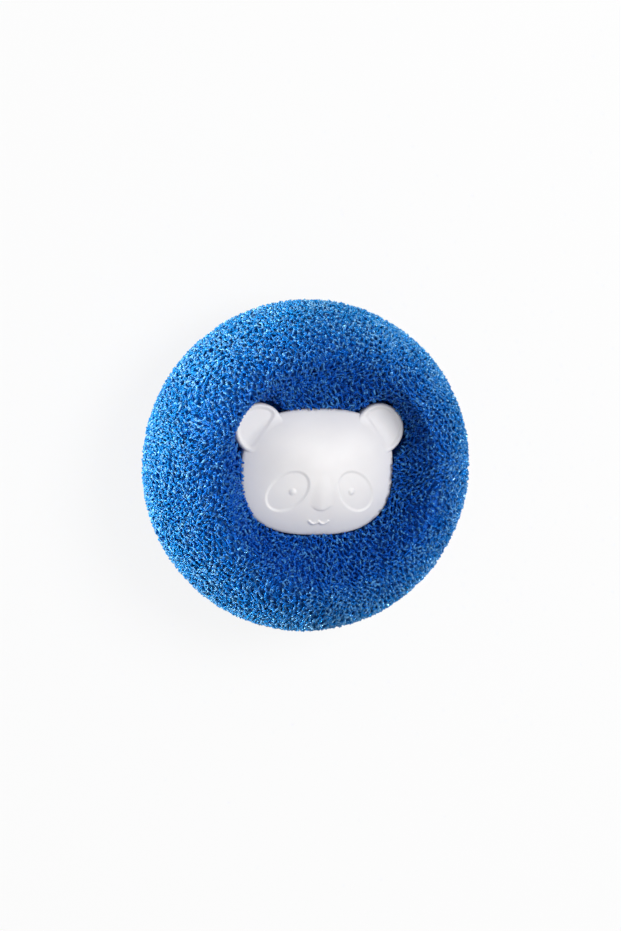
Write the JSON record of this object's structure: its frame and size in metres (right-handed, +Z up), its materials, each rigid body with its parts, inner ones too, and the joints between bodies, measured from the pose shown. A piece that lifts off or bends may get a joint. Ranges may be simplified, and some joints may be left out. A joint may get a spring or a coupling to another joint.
{
  "type": "pet hair laundry ball",
  "caption": "Coarse foam ring pinched between hollow moulded panda heads that plug into a spindle; it tumbles with the wash and catches pet hair.",
  "frame": {"origin": "middle of the foam ring that the ball lies on, on the surface under it", "axes": "+Z up along the ball's axis, out of the front face; +Y towards the front face's ears; +X to the right as one looks down on the front face"},
  "size_m": [0.09, 0.09, 0.042],
  "materials": {
    "blue_foam": "matte",
    "white_plastic": "satin",
    "pale_plastic": "satin"
  },
  "bodies": {
    "sponge": {"sponge_ring": "blue_foam"},
    "front_half": {"front_face_shell": "white_plastic", "front_back_plate": "pale_plastic"},
    "rear_half": {"rear_face_shell": "white_plastic", "rear_back_plate": "pale_plastic", "spindle": "pale_plastic"}
  },
  "joints": [
    {"name": "front_pull", "type": "slide", "parent": "sponge", "child": "front_half", "axis": [0, 0, 1], "range_m": [0, 0.035]},
    {"name": "rear_pull", "type": "slide", "parent": "sponge", "child": "rear_half", "axis": [0, 0, -1], "range_m": [0, 0.035]}
  ]
}
